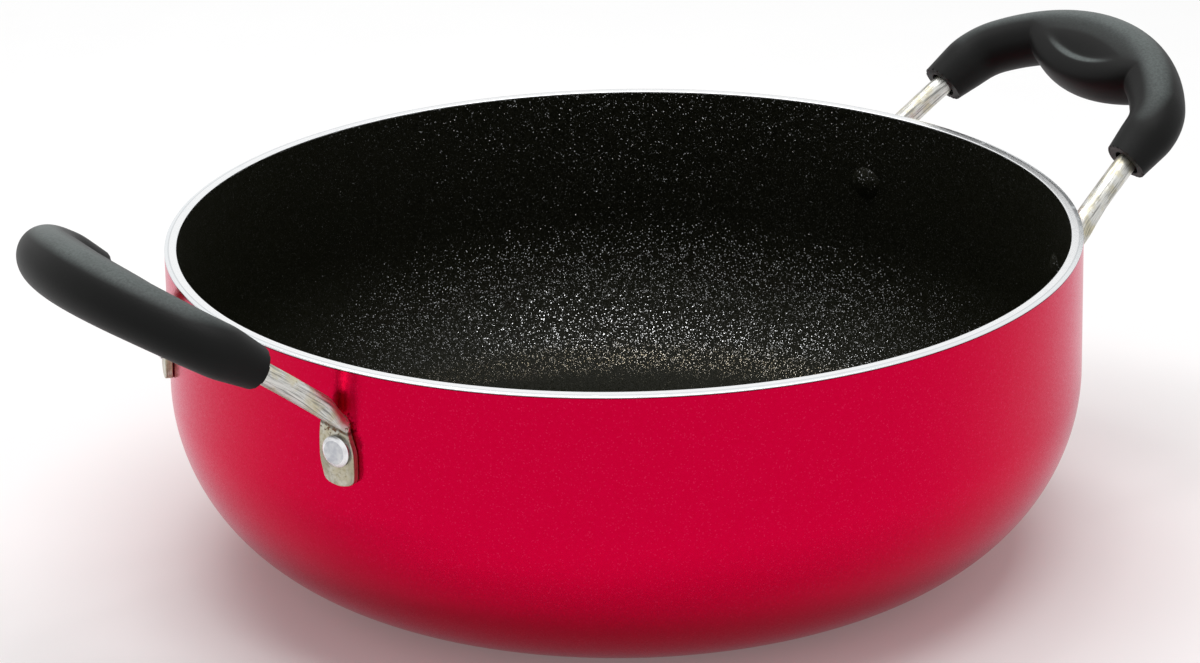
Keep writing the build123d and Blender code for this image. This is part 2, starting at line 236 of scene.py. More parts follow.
GROUPS = {
    "kadai_pan": KadaiPanSizes,
    "kadai_handle": KadaiHandleSizes,
    "kadai_grip": KadaiGripSizes,
    "kadai_rivet": KadaiRivetSizes,
    "kadai_colours": KadaiColours,
    "kadai_stage": KadaiStageSettings,
}


# Shader maths

class Shade:
    """A value in a material. Arithmetic on it adds the Math nodes that it needs."""

    def __init__(self, tree, socket=None):
        self.tree = tree
        self.socket = socket

    def node(self, kind, settings=None, inputs=None, output=0):
        """Adds a node: its settings first, then its sockets, and gives one output."""
        node = self.tree.nodes.new(kind)
        for name, value in (settings or {}).items():
            setattr(node, name, value)
        for key, value in (inputs or {}).items():
            if isinstance(value, Shade):
                self.tree.links.new(value.socket, node.inputs[key])
            else:
                node.inputs[key].default_value = value
        return Shade(self.tree, node.outputs[output] if node.outputs else None)

    def math(self, operation, first, second=0.0):
        """One Math node."""
        return self.node("ShaderNodeMath", {"operation": operation}, {0: first, 1: second})

    def vector(self, operation, inputs, output=0):
        """One Vector Math node."""
        return self.node("ShaderNodeVectorMath", {"operation": operation}, inputs, output)

    def __add__(self, other):
        return self.math("ADD", self, other)

    def __radd__(self, other):
        return self.math("ADD", other, self)

    def __sub__(self, other):
        return self.math("SUBTRACT", self, other)

    def __rsub__(self, other):
        return self.math("SUBTRACT", other, self)

    def __mul__(self, other):
        return self.math("MULTIPLY", self, other)

    def __rmul__(self, other):
        return self.math("MULTIPLY", other, self)

    def __pow__(self, other):
        return self.math("POWER", self, other)

    def __abs__(self):
        return self.math("ABSOLUTE", self)

    def between(self, low, high):
        """0 below low, 1 above high and smooth in between."""
        inputs = {0: self, 1: low, 2: high, 3: 0.0, 4: 1.0}
        return self.node("ShaderNodeMapRange", {"interpolation_type": "SMOOTHSTEP"}, inputs)


def new_finish(name):
    """A material with no nodes yet, and the value that its nodes start from."""
    material = bpy.data.materials.new(name)
    material.use_nodes = True
    material.node_tree.nodes.clear()
    return material, Shade(material.node_tree)


def close_finish(base, sockets):
    """The principled shader and the output of a finish."""
    shader = base.node("ShaderNodeBsdfPrincipled", inputs=sockets)
    base.node("ShaderNodeOutputMaterial", inputs={"Surface": shader})


def object_place(base):
    """The place on the piece, in metres."""
    return base.node("ShaderNodeTexCoord", output="Object")


def height_of(base, vector):
    """The Z part of a place or a normal."""
    return base.node("ShaderNodeSeparateXYZ", inputs={0: vector}, output="Z")


def surface_normal(base):
    """The normal in the object's own frame."""
    return base.node("ShaderNodeTexCoord", output="Normal")


def stretched(base, place, scale):
    """The place with each axis scaled, for grain that runs one way."""
    return base.node("ShaderNodeMapping", {"vector_type": "TEXTURE"}, {"Vector": place, "Scale": scale})


def noise(base, place, size, detail=2.0, roughness=0.5):
    """Cloudy noise whose patches measure about one size."""
    inputs = {"Vector": place, "Scale": 1 / size, "Detail": detail, "Roughness": roughness}
    return base.node("ShaderNodeTexNoise", inputs=inputs)


def rings(base, radius, size, detail):
    """Noise that changes with the radius alone, as a lathe or a grinder leaves it."""
    inputs = {"W": radius, "Scale": 1 / size, "Detail": detail}
    return base.node("ShaderNodeTexNoise", {"noise_dimensions": "1D"}, inputs)


def cells(base, place, size, output):
    """Cells of one size: the distance to their middles, or their own colours."""
    return base.node("ShaderNodeTexVoronoi", inputs={"Vector": place, "Scale": 1 / size}, output=output)


def turned_grid(base, place):
    """The place turned off the axes and warped, so that no wall runs along a layer of cells."""
    turned = base.node("ShaderNodeMapping", inputs={"Vector": place, "Rotation": (0.61, 0.37, 0.23)})
    warp = base.node("ShaderNodeTexNoise", inputs={"Vector": place, "Scale": 1 / (7 * MM)}, output="Color")
    return base.vector("ADD", {0: turned, 1: base.vector("SCALE", {0: warp, "Scale": 2 * MM})})


def channel(base, value, index):
    """One channel of a colour."""
    return base.node("ShaderNodeSeparateColor", inputs={0: value}, output=index)


def mixed(base, factor, first, second):
    """A mix of two colours."""
    ends = [end if isinstance(end, Shade) else (*end, 1.0) for end in (first, second)]
    return base.node("ShaderNodeMix", {"data_type": "RGBA"}, {0: factor, 6: ends[0], 7: ends[1]}, output=2)


def bump(base, height, depth, normal=None):
    """A bumped normal. The height runs from 0 to 1 and the depth is in metres."""
    inputs = {"Height": height, "Distance": depth, "Strength": 1.0}
    if normal is not None:
        inputs["Normal"] = normal
    return base.node("ShaderNodeBump", inputs=inputs)


def scattered_normal(base, tones, spread):
    """The surface's normal, leaning by random cell colours, as flakes lie in a film."""
    middle = (0.5, 0.5, 0.5)
    lean = base.vector("SCALE", {0: base.vector("SUBTRACT", {0: tones, 1: middle}), "Scale": spread})
    normal = base.node("ShaderNodeNewGeometry", output="Normal")
    return base.vector("NORMALIZE", {0: base.vector("ADD", {0: normal, 1: lean})})


def from_axis(base, place):
    """The distance from the pan's axis."""
    flat = base.vector("MULTIPLY", {0: place, 1: (1.0, 1.0, 0.0)})
    return base.vector("LENGTH", {0: flat}, output="Value")


# Finishes

def lacquer_finish(tones, edge):
    """Metallic red lacquer: fine flakes in a clear film, faint orange peel, and a painted dark line of shade
    at its edge under the rim.
    """
    material, base = new_finish("red_lacquer")
    place = object_place(base)
    flake_tones = cells(base, place, 0.30 * MM, "Color")
    glint = channel(base, flake_tones, 0).between(0.90, 1.0)
    cloud = noise(base, place, 1.1 * MM, detail=3.0)
    tone = mixed(base, cloud, tones.lacquer_deep, tones.lacquer)
    tone = mixed(base, glint * 0.30, tone, tones.flake)
    # painted shade: a thin dark band at the top of the lacquer, under the rim
    shade = height_of(base, place).between(edge - 0.35 * MM, edge - 0.25 * MM)
    tone = mixed(base, shade * 0.85, tone, tones.lacquer_edge_shade)
    peel = noise(base, place, 1.6 * MM)
    flaked = scattered_normal(base, flake_tones, 0.07)
    close_finish(base, {
        "Base Color": tone, "Metallic": 1.0, "Roughness": 0.185 + 0.05 * cloud,
        "Normal": bump(base, peel, 0.004 * MM, flaked),
        "Specular Tint": (0.94, 0.78, 0.86, 1.0),
    })
    return material


def film_finish(tones):
    """Black non-stick film with mineral flakes; the warmer tint of the flakes low in the pan is a painted
    reflection, and their dimming on the flat floor is painted shade.
    """
    material, base = new_finish("flecked_film")
    flake_size = 0.32 * MM
    height = height_of(base, object_place(base))
    place = turned_grid(base, object_place(base))
    flake_tones = cells(base, place, flake_size, "Color")
    spread = cells(base, place, flake_size, "Distance")
    size = 0.15 + 0.27 * channel(base, flake_tones, 1)
    core = 1 - (spread - size).between(0.0, 0.08)
    # painted shade: the flakes on the flat floor of the pan are dimmed to a dark strip
    floor = 0.12 + 0.88 * height.between(9.5 * MM, 12.5 * MM)
    # painted reflection: flakes low in the pan are tinted warm, as a warm reflection there would tint them
    low = 1 - height.between(13 * MM, 19 * MM)
    flake = channel(base, flake_tones, 0).between(0.55, 0.62) * core
    bright = channel(base, flake_tones, 2) ** 2.0
    shine = mixed(base, bright * floor, tones.film_dull, tones.film_flake)
    shine = mixed(base, low * 0.4 * floor, shine, tones.film_warm_reflection)
    tone = mixed(base, flake * (0.3 + 0.7 * floor), tones.film, shine)
    lean = scattered_normal(base, flake_tones, 0.42)
    grain = noise(base, place, 0.25 * MM)
    close_finish(base, {
        "Base Color": tone, "Metallic": flake, "Roughness": 0.50 - 0.34 * flake,
        "Normal": bump(base, grain, 0.010 * MM, lean),
        "Specular IOR Level": 0.07,
    })
    return material


def ground_finish(tones, bevel):
    """The rim's bare aluminium, ground round the rim, with scuffs; its bevel carries a painted reflection, a
    darker bluish tone and a fine dark line where it starts.
    """
    material, base = new_finish("ground_rim")
    place = object_place(base)
    radius = from_axis(base, place)
    past_bevel = radius - bevel
    scuff = noise(base, place, 4 * MM, detail=5.0).between(0.56, 0.74)
    tone = mixed(base, scuff * 0.4, tones.aluminium, tones.rim_scuff)
    # painted reflection: the bevel is tinted a darker bluish grey and edged by a fine dark line, as it
    # reflects darker surroundings
    tone = mixed(base, past_bevel.between(-0.05 * MM, 0.05 * MM) * 0.3, tone, tones.rim_slope_reflection)
    fine_line = 1 - abs(past_bevel).between(0.10 * MM, 0.30 * MM)
    tone = mixed(base, fine_line * 0.35, tone, tones.rim_line_reflection)
    close_finish(base, {
        "Base Color": tone, "Metallic": 1.0, "Roughness": 0.24 + 0.14 * scuff,
        "Normal": bump(base, rings(base, radius, 0.22 * MM, 2.0), 0.010 * MM),
    })
    return material


def turned_finish(tones):
    """The base's bare aluminium, with the fine rings that a lathe leaves."""
    material, base = new_finish("turned_base")
    place = object_place(base)
    worn = noise(base, place, 24 * MM, detail=4.0)
    close_finish(base, {
        "Base Color": mixed(base, worn, tones.aluminium, tones.base_worn),
        "Metallic": 1.0, "Roughness": 0.30 + 0.16 * worn,
        "Normal": bump(base, rings(base, from_axis(base, place), 0.9 * MM, 3.0), 0.05 * MM),
    })
    return material


def steel_finish(tones, fold):
    """Plated steel rod, drawn along its length and yellowed, with rust at the fold and painted shade in its
    crease and under the arm.
    """
    material, base = new_finish("drawn_steel")
    place = object_place(base)
    run = base.node("ShaderNodeUVMap", {"uv_map": "run"})
    drawn = noise(base, stretched(base, run, (12.0, 0.55, 1.0)), 1 * MM, detail=4.0, roughness=0.65)
    fine = noise(base, stretched(base, run, (5.0, 0.22, 1.0)), 1 * MM)
    patch = noise(base, place, 4 * MM, detail=5.0, roughness=0.6)
    spots = noise(base, place, 0.9 * MM, detail=4.0, roughness=0.65)
    along = abs(base.node("ShaderNodeSeparateXYZ", inputs={0: run}, output="X"))
    beyond = along - fold
    near_fold = 1 - abs(along - (fold + 0.8 * MM)).between(0.8 * MM, 3.5 * MM)
    rust = (spots + 0.16 * near_fold).between(0.68, 0.74)
    tone = mixed(base, patch.between(0.40, 0.66), tones.steel, tones.steel_warm)
    tone = mixed(base, drawn.between(0.48, 0.62) * 0.80, tone, tones.steel_drawn)
    tone = mixed(base, fine.between(0.52, 0.66) * 0.45, tone, tones.steel_fine)
    on_plate = beyond.between(0.3 * MM, 1.2 * MM)
    tone = mixed(base, on_plate * (1.5 * patch - 0.15), tone, tones.ear_warm)
    tone = mixed(base, spots.between(0.46, 0.68) * on_plate * 0.5, tone, tones.ear_stain)
    # painted shade: faces turned down near the fold, the crease and a thin band at the ear's top are
    # darkened in a dirty brown
    downward = 0 - height_of(base, surface_normal(base))
    under_arm = downward.between(0.25, 0.6) * (1 - abs(beyond).between(0.3 * MM, 1.0 * MM))
    top_of_ear = beyond.between(0.26 * MM, 0.34 * MM) * (1 - beyond.between(0.5 * MM, 1.1 * MM))
    tone = mixed(base, (under_arm + top_of_ear) * (0.5 + 0.8 * spots), tone, tones.fold_crease_shade)
    tone = mixed(base, rust, tone, tones.rust)
    close_finish(base, {
        "Base Color": tone, "Metallic": 1 - rust, "Roughness": 0.24 + 0.22 * patch + 0.3 * rust,
        "Normal": bump(base, drawn * 0.7 + fine * 0.3, 0.14 * MM),
    })
    return material


def rivet_finish(name, tones):
    """Aluminium of one part of the outer heads, with the faint marks of the setting tool. The chamfer's
    lighter tone is a painted highlight and the side's darker tone is painted shade.
    """
    material, base = new_finish(name)
    mark = noise(base, object_place(base), 2.5 * MM, detail=4.0)
    bright, dull = getattr(tones, name), getattr(tones, name + "_dull")
    close_finish(base, {
        "Base Color": mixed(base, mark.between(0.35, 0.65), bright, dull),
        "Metallic": 1.0, "Roughness": 0.22 + 0.14 * mark,
        "Normal": bump(base, mark, 0.05 * MM),
    })
    return material


def plastic_finish(tones):
    """Charcoal moulded plastic with a fine grain, and a painted highlight, a lighter grey mottled by the
    grain, where it faces up.
    """
    material, base = new_finish("grip_plastic")
    place = object_place(base)
    grain = noise(base, place, 0.75 * MM, detail=4.0, roughness=0.7)
    rub = noise(base, place, 16 * MM, detail=3.0)
    # painted highlight: faces turned up are lightened towards a grey, as light from above would light them
    upward = height_of(base, surface_normal(base)).between(0.76, 1.0)
    worn = upward * (0.65 + 0.5 * rub) * (0.15 + 1.6 * grain)
    close_finish(base, {
        "Base Color": mixed(base, worn, tones.plastic, tones.plastic_top_highlight),
        "Roughness": 0.42 + 0.10 * rub,
        "Normal": bump(base, grain, 0.05 * MM),
        "Specular IOR Level": 0.12,
    })
    return material


def screw_finish(tones):
    """Zinc-plated steel of the sunk screws."""
    material, base = new_finish("screw_zinc")
    stain = noise(base, object_place(base), 0.9 * MM, detail=3.0)
    tone = mixed(base, stain, tones.steel, tones.zinc_stain)
    close_finish(base, {"Base Color": tone, "Metallic": 1.0, "Roughness": 0.32 + 0.2 * stain})
    return material


def floor_finish(tones, glow):
    """A plain white floor that keeps the object's shadow."""
    material, base = new_finish("pale_floor")
    grain = noise(base, object_place(base), 40 * MM)
    tone = mixed(base, grain, tones.floor, tones.floor_light)
    matt = base.node("ShaderNodeBsdfDiffuse", inputs={"Color": tone})
    white = base.node("ShaderNodeEmission", inputs={"Color": (1.0, 1.0, 1.0, 1.0), "Strength": 1.0})
    both = base.node("ShaderNodeMixShader", inputs={0: seen_rays(base) * glow, 1: matt, 2: white})
    base.node("ShaderNodeOutputMaterial", inputs={"Surface": both})
    return material


def seen_rays(base):
    """1 for rays that the camera sees straight, in a gloss or through glass, and 0 for light."""
    straight, gloss, through = [base.node("ShaderNodeLightPath", output=name)
                                for name in ("Is Camera Ray", "Is Glossy Ray", "Is Transmission Ray")]
    return base.math("MAXIMUM", base.math("MAXIMUM", straight, gloss), through)


# Modelling by hand

def deselect_all():
    """Leaves nothing selected, so that the next operator acts on its own piece alone."""
    if bpy.context.object and bpy.context.object.mode != "OBJECT":
        bpy.ops.object.mode_set(mode="OBJECT")
    bpy.ops.object.select_all(action="DESELECT")


def make_active(piece):
    """Selects one object alone."""
    deselect_all()
    piece.select_set(True)
    bpy.context.view_layer.objects.active = piece


def begin_edit(name):
    """Names the new primitive, applies its place and opens it in edit mode, all selected."""
    piece = bpy.context.object
    piece.name = name
    piece.data.name = name
    bpy.ops.object.transform_apply(location=True, rotation=True, scale=True)
    bpy.ops.object.mode_set(mode="EDIT")
    bpy.ops.mesh.select_mode(type="VERT")
    bpy.ops.mesh.select_all(action="SELECT")
    return piece


def open_mesh(piece, kind):
    """Opens a piece in edit mode, all selected, to work on its vertices, edges or faces."""
    make_active(piece)
    bpy.ops.object.mode_set(mode="EDIT")
    bpy.ops.mesh.select_mode(type=kind)
    bpy.ops.mesh.select_all(action="SELECT")


def select_points(piece, test):
    """In edit mode, selects the vertices whose place passes a test."""
    mesh = bmesh.from_edit_mesh(piece.data)
    for point in mesh.verts:
        point.select = test(point.co)
    mesh.select_flush_mode()
    bmesh.update_edit_mesh(piece.data)


def select_faces(piece, test):
    """In edit mode, selects the faces whose middle and normal pass a test."""
    bpy.ops.mesh.select_all(action="DESELECT")
    mesh = bmesh.from_edit_mesh(piece.data)
    for face in mesh.faces:
        face.select = test(face.calc_center_median(), face.normal)
    mesh.select_flush_mode()
    bmesh.update_edit_mesh(piece.data)


def select_edges(piece, test):
    """In edit mode, selects the edges that pass a test."""
    bpy.ops.mesh.select_all(action="DESELECT")
    mesh = bmesh.from_edit_mesh(piece.data)
    for edge in mesh.edges:
        edge.select = test(edge)
    bmesh.update_edit_mesh(piece.data)


def tidy_mesh():
    """Merges doubles and turns all faces outwards."""
    bpy.ops.mesh.select_all(action="SELECT")
    bpy.ops.mesh.remove_doubles(threshold=0.001 * MM)
    bpy.ops.mesh.normals_make_consistent(inside=False)
    bpy.ops.object.mode_set(mode="OBJECT")


def apply_modifier(piece, kind, **settings):
    """Adds a modifier and applies it."""
    make_active(piece)
    modifier = piece.modifiers.new(kind.lower(), kind)
    for name, value in settings.items():
        setattr(modifier, name, value)
    bpy.ops.object.modifier_apply(modifier=modifier.name)


def settle(piece, matrix):
    """Puts a piece in its place, and applies it so that the object stays at the origin."""
    make_active(piece)
    piece.matrix_world = matrix
    bpy.ops.object.transform_apply(location=True, rotation=True, scale=True)


def copy_piece(piece, name, matrix):
    """A copy with its own mesh, moved by a matrix."""
    make_active(piece)
    bpy.ops.object.duplicate(linked=False)
    copy = bpy.context.object
    copy.name = name
    copy.data.name = name
    settle(copy, matrix)
    return copy


def remove(*pieces):
    """Deletes helpers."""
    deselect_all()
    for piece in pieces:
        piece.select_set(True)
    bpy.ops.object.delete()


def smooth(piece, angle=35):
    """Smooth shading, with sharp edges over an angle in degrees."""
    make_active(piece)
    bpy.ops.object.shade_smooth_by_angle(angle=radians(angle))


def give_finishes(piece, *materials):
    """The piece's materials, in order."""
    piece.data.materials.clear()
    for material in materials:
        piece.data.materials.append(material)


def finish_faces(piece, index, test):
    """Gives the faces that pass a test one of the piece's materials."""
    open_mesh(piece, "FACE")
    select_faces(piece, test)
    piece.active_material_index = index
    bpy.ops.object.material_slot_assign()
    bpy.ops.object.mode_set(mode="OBJECT")


def turned_piece(name, profile, steps):
    """A piece spun about Z from a profile: points of radius and height."""
    deselect_all()
    bpy.ops.mesh.primitive_plane_add(size=MM, location=(0, 0, 0))
    piece = begin_edit(name)
    bpy.ops.mesh.merge(type="CENTER")
    radius, height = profile[0]
    bpy.ops.transform.translate(value=(radius, 0, height))
    for (r0, z0), (r1, z1) in zip(profile, profile[1:]):
        move = {"value": (r1 - r0, 0, z1 - z0)}
        bpy.ops.mesh.extrude_vertices_move(TRANSFORM_OT_translate=move)
    bpy.ops.mesh.select_all(action="SELECT")
    bpy.ops.mesh.spin(steps=steps, angle=2 * pi, center=(0, 0, 0), axis=(0, 0, 1))
    tidy_mesh()
    return piece


def arc(centre, radius, start, end, count):
    """Points of an arc in the plane of a profile, from one angle to another."""
    turns = [start + (end - start) * i / count for i in range(count + 1)]
    return [(centre[0] + radius * cos(a), centre[1] + radius * sin(a)) for a in turns]


def line(start, end, count):
    """Points of a straight run, without its start."""
    return [tuple(a + (b - a) * i / count for a, b in zip(start, end)) for i in range(1, count + 1)]


def cut(piece, cutter):
    """Cuts one closed mesh out of another, and deletes the cutter."""
    apply_modifier(piece, "BOOLEAN", operation="DIFFERENCE", solver="EXACT", object=cutter)
    remove(cutter)


def drill_rivet_holes(piece, scene, angles, depth):
    """Drills the bores of the rivets at some angles."""
    rivet = scene.kadai_rivet
    for angle in angles:
        deselect_all()
        bpy.ops.mesh.primitive_cylinder_add(vertices=48, radius=rivet.shank + rivet.bore_clearance,
                                            depth=depth)
        drill = bpy.context.object
        settle(drill, rivet_matrix(scene, angle))
        cut(piece, drill)


# Places on the handles

def rivet_matrix(scene, angle):
    """The place of a rivet: Z runs outward, and Z = 0 is the inside of the wall."""
    pan, handle = scene.kadai_pan, scene.kadai_handle
    out = Vector((cos(angle), sin(angle), 0))
    origin = out * (pan.radius - pan.wall) + Vector((0, 0, pan.height - handle.rivet_drop))
    across = Vector((-sin(angle), cos(angle), 0))
    rotation = Matrix((across, Vector((0, 0, 1)), out)).transposed()
    return Matrix.Translation(origin) @ rotation.to_4x4()


def rivet_names(scene):
    """Each rivet's node and angle."""
    ear = scene.kadai_handle.ear_angle
    return {
        "rivet_rear_right": ear, "rivet_front_right": -ear,
        "rivet_rear_left": pi - ear, "rivet_front_left": pi + ear,
    }


def side_turn(side):
    """The turn that takes a piece of the right handle to a side."""
    return Matrix.Identity(4) if side == "right" else Matrix.Rotation(pi, 4, "Z")


def handle_matrix(scene, side):
    """The tilted plane of a bow: X runs outward and Y sideways."""
    pan, handle = scene.kadai_pan, scene.kadai_handle
    origin = Vector((pan.radius, 0, pan.height - handle.drop))
    return side_turn(side) @ Matrix.Translation(origin) @ Matrix.Rotation(-handle.tilt, 4, "Y")


class Bow:
    """The line of the bent rod in its plane, from one mouth round to the other."""

    def __init__(self, scene):
        pan, handle = scene.kadai_pan, scene.kadai_handle
        ear_radius = pan.radius + handle.ear_gap + handle.ear_thickness / 2
        corner = Vector(((ear_radius * cos(handle.ear_angle) - pan.radius) / cos(handle.tilt),
                         ear_radius * sin(handle.ear_angle)))
        self.along = Vector((cos(handle.arm_turn), -sin(handle.arm_turn)))
        inward = Vector((self.along.y, -self.along.x))
        self.arm_end = corner + self.along * ((handle.arm_reach - corner.x) / self.along.x)
        self.bend_centre = self.arm_end + inward * handle.bend_radius
        self.bend_radius = handle.bend_radius
        back = handle.reach - self.bend_centre.x
        span = back * back + self.bend_centre.y ** 2 - self.bend_radius ** 2
        self.crown_radius = span / (2 * (back - self.bend_radius))
        self.crown_centre = Vector((handle.reach - self.crown_radius, 0))
        out = self.bend_centre - self.crown_centre
        self.crown_angle = atan2(out.y, out.x)
        self.arm_angle = pi / 2 - handle.arm_turn

    def half_length(self, reach):
        """The length from the middle of the bow to a reach on the arm."""
        arm = (self.arm_end.x - reach) / self.along.x
        bend = (self.arm_angle - self.crown_angle) * self.bend_radius
        return self.crown_angle * self.crown_radius + bend + arm

    def point(self, distance):
        """The point at a distance along the line from the middle, on the +Y side."""
        crown_length = self.crown_angle * self.crown_radius
        bend_length = (self.arm_angle - self.crown_angle) * self.bend_radius
        if distance <= crown_length:
            a = distance / self.crown_radius
            return self.crown_centre + self.crown_radius * Vector((cos(a), sin(a)))
        if distance <= crown_length + bend_length:
            a = self.crown_angle + (distance - crown_length) / self.bend_radius
            return self.bend_centre + self.bend_radius * Vector((cos(a), sin(a)))
        return self.arm_end - self.along * (distance - crown_length - bend_length)

    def guide(self, reach, step):
        """A curve object along the whole line, for the Curve modifier."""
        half = self.half_length(reach)
        count = int(half / step) + 1
        distances = [half * i / count for i in range(count + 1)]
        side = [self.point(d) for d in distances]
        points = [Vector((p.x, -p.y)) for p in reversed(side[1:])] + side
        data = bpy.data.curves.new("bow_guide", "CURVE")
        data.dimensions = "3D"
        spline = data.splines.new("POLY")
        spline.points.add(len(points) - 1)
        for target, point in zip(spline.points, points):
            target.co = (point.x, point.y, 0, 1)
        guide = bpy.data.objects.new("bow_guide", data)
        bpy.context.collection.objects.link(guide)
        return guide


# Pieces

def bare_height(pan):
    """Where the lacquer and the film end and the bare rim starts."""
    return pan.height - pan.rim_round - pan.rim_fall - pan.rim_bare


def pan_profile(pan):
    """The pan's closed section, from the middle of the base round to the floor."""
    flat = pan.radius - pan.corner
    inner = pan.radius - pan.wall
    rim = pan.rim_round
    top = pan.height
    lip = top - pan.rim_fall
    bare = bare_height(pan)
    flat_count, outer_count, inner_count, wall_count, round_count = 24, 56, 52, 10, 5
    profile = [(0, 0)] + line((0, 0), (flat, 0), flat_count)
    profile += arc((flat, pan.corner), pan.corner, -pi / 2, 0, outer_count)[1:]
    profile += line(profile[-1], (pan.radius, bare), wall_count)
    profile += line(profile[-1], (pan.radius, lip - rim), 1)
    profile += arc((pan.radius - rim, lip - rim), rim, 0, pi / 2, round_count)[1:]
    profile += line(profile[-1], (pan.radius - pan.rim_bevel, top), 2)
    profile += line(profile[-1], (inner + rim, top), 4)
    profile += arc((inner + rim, top - rim), rim, pi / 2, pi, round_count)[1:]
    profile += line(profile[-1], (inner, bare), 1)
    profile += line(profile[-1], (inner, pan.corner), wall_count)
    profile += arc((flat, pan.corner), pan.corner - pan.wall, 0, -pi / 2, inner_count)[1:]
    profile += line(profile[-1], (0, pan.wall), flat_count)
    return profile


class KADAI_OT_pan(bpy.types.Operator):
    """Spins the pan, drills its rivet holes and gives it its four finishes"""
    bl_idname = "kadai.pan"
    bl_label = "Pan"

    def execute(self, context):
        scene = context.scene
        pan, tones = scene.kadai_pan, scene.kadai_colours
        shell = turned_piece("pan_shell", pan_profile(pan), pan.steps)
        drill_rivet_holes(shell, scene, rivet_names(scene).values(), 4 * pan.wall)
        smooth(shell, 30)
        top = bare_height(pan)
        give_finishes(shell, lacquer_finish(tones, top), film_finish(tones),
                      ground_finish(tones, pan.radius - pan.rim_bevel), turned_finish(tones))
        film, rim, base = 1, 2, 3
        flat = pan.radius - pan.corner
        slack = 0.01 * MM
        finish_faces(shell, film, lambda p, n: p.z < top and pan_inside(pan, p))
        finish_faces(shell, rim, lambda p, n: p.z > top + slack)
        finish_faces(shell, base, lambda p, n: p.z < slack and hypot(p.x, p.y) < flat)
        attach(shell, "root")
        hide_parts("pan_body")
        return {"FINISHED"}


def pan_inside(pan, point):
    """Whether a point lies on the inner side of the middle of the wall."""
    radius = hypot(point.x, point.y)
    flat = pan.radius - pan.corner
    if point.z >= pan.corner:
        return radius < pan.radius - pan.wall / 2
    if radius <= flat:
        return point.z > pan.wall / 2
    return hypot(radius - flat, point.z - pan.corner) < pan.corner - pan.wall / 2


class Section:
    """A cross-section of the forged rod: flat below, with rounded corners."""
    corner_points = 8

    def __init__(self, foot, wide, thick, half, height, back, edge, run):
        self.foot = foot
        self.wide = wide
        self.thick = thick
        self.half = half
        self.height = height
        self.back = back
        self.edge = edge
        self.run = run

    def ring(self):
        """Its points, corner by corner."""
        side, rise = self.back
        edge = self.edge
        corners = (
            (self.half - side, self.height - rise, side, rise),
            (side - self.half, self.height - rise, side, rise),
            (edge - self.half, edge, edge, edge),
            (self.half - edge, edge, edge, edge),
        )
        points = []
        for quarter, (x, y, across, up) in enumerate(corners):
            for i in range(self.corner_points):
                a = (quarter + i / (self.corner_points - 1)) * pi / 2
                shift = self.wide * (x + across * cos(a)) + self.thick * (y + up * sin(a))
                points.append(self.foot + shift)
        return points


def blend(first, second, part):
    """A number or a vector between two others."""
    return first * (1 - part) + second * part


def ease(part):
    """A soft start and end between 0 and 1."""
    part = max(0.0, min(1.0, part))
    return part * part * (3 - 2 * part)


class Fold:
    """The crisp fold between the right handle's rear arm and its ear."""

    def __init__(self, scene):
        pan, handle = scene.kadai_pan, scene.kadai_handle
        self.plane = handle_matrix(scene, "right")
        self.bow = Bow(scene)
        self.out = Vector((cos(handle.ear_angle), sin(handle.ear_angle), 0))
        self.across = Vector((-sin(handle.ear_angle), cos(handle.ear_angle), 0))
        self.up = self.plane.to_3x3() @ Vector((0, 0, 1))
        self.axis = self.up.cross(self.out).normalized()
        self.face = pan.radius + handle.ear_gap + handle.ear_thickness
        self.rise = handle.ear_thickness / self.up.dot(-self.out)
        corner = self.bow.half_length(0)
        low, high = corner - handle.arm_reach, corner + handle.arm_reach
        halvings = 40
        for _ in range(halvings):
            self.length = (low + high) / 2
            if self.underside(handle, self.length, 1).dot(self.out) > self.face:
                low = self.length
            else:
                high = self.length
        self.foot = self.underside(handle, self.length, 1)

    def underside(self, handle, distance, sag):
        """The lowest point of the arm's section, with a share of its sag."""
        here = self.bow.point(distance)
        return self.plane @ Vector((here.x, here.y, -handle.rod_radius - handle.fold_drop * sag))


def arm_sections(handle, fold):
    """The rod's sections on the +Y side, from the middle of the bow to the fold."""
    bow = fold.bow
    turned = fold.plane.to_3x3()
    full = handle.rod_radius
    start = fold.length - handle.forged
    bow_count, forged_count = 46, 26
    places = [start * i / bow_count for i in range(bow_count)]
    places += [start + handle.forged * i / forged_count for i in range(forged_count + 1)]
    ahead_by = 0.01 * MM
    widen_from, flatten_from, square_by = 0.50, 0.62, 0.9
    side_share, rise_share = 0.97, 0.95
    droop_power = 1.15
    sections = []
    for distance in places:
        here, ahead = bow.point(distance), bow.point(distance + ahead_by)
        side = Vector((here.y - ahead.y, ahead.x - here.x, 0))
        wide = turned @ (side if side.y * here.y + side.x * (here.x - bow.crown_centre.x) > 0 else -side)
        part = max(0, (distance - start) / handle.forged)
        late = ease((part - widen_from) / (1 - widen_from))
        wide = blend(wide.normalized(), fold.axis, late).normalized()
        height = blend(2 * full, fold.rise, ease((part - flatten_from) / (1 - flatten_from)))
        half = blend(full, handle.fold_half_width, late)
        side_round = half * side_share
        rise_round = min(blend(full, height, late) * rise_share, side_round)
        edge = blend(full * side_share, 2 * handle.ear_edge, ease(part / square_by))
        edge = min(edge, height - rise_round)
        droop = max(0, (distance - fold.length) / handle.droop_run + 1) ** droop_power
        foot = fold.underside(handle, distance, droop) - fold.axis * handle.fold_lean * late
        sections.append(Section(foot, wide, fold.up, half, height, (side_round, rise_round), edge, distance))
    return sections


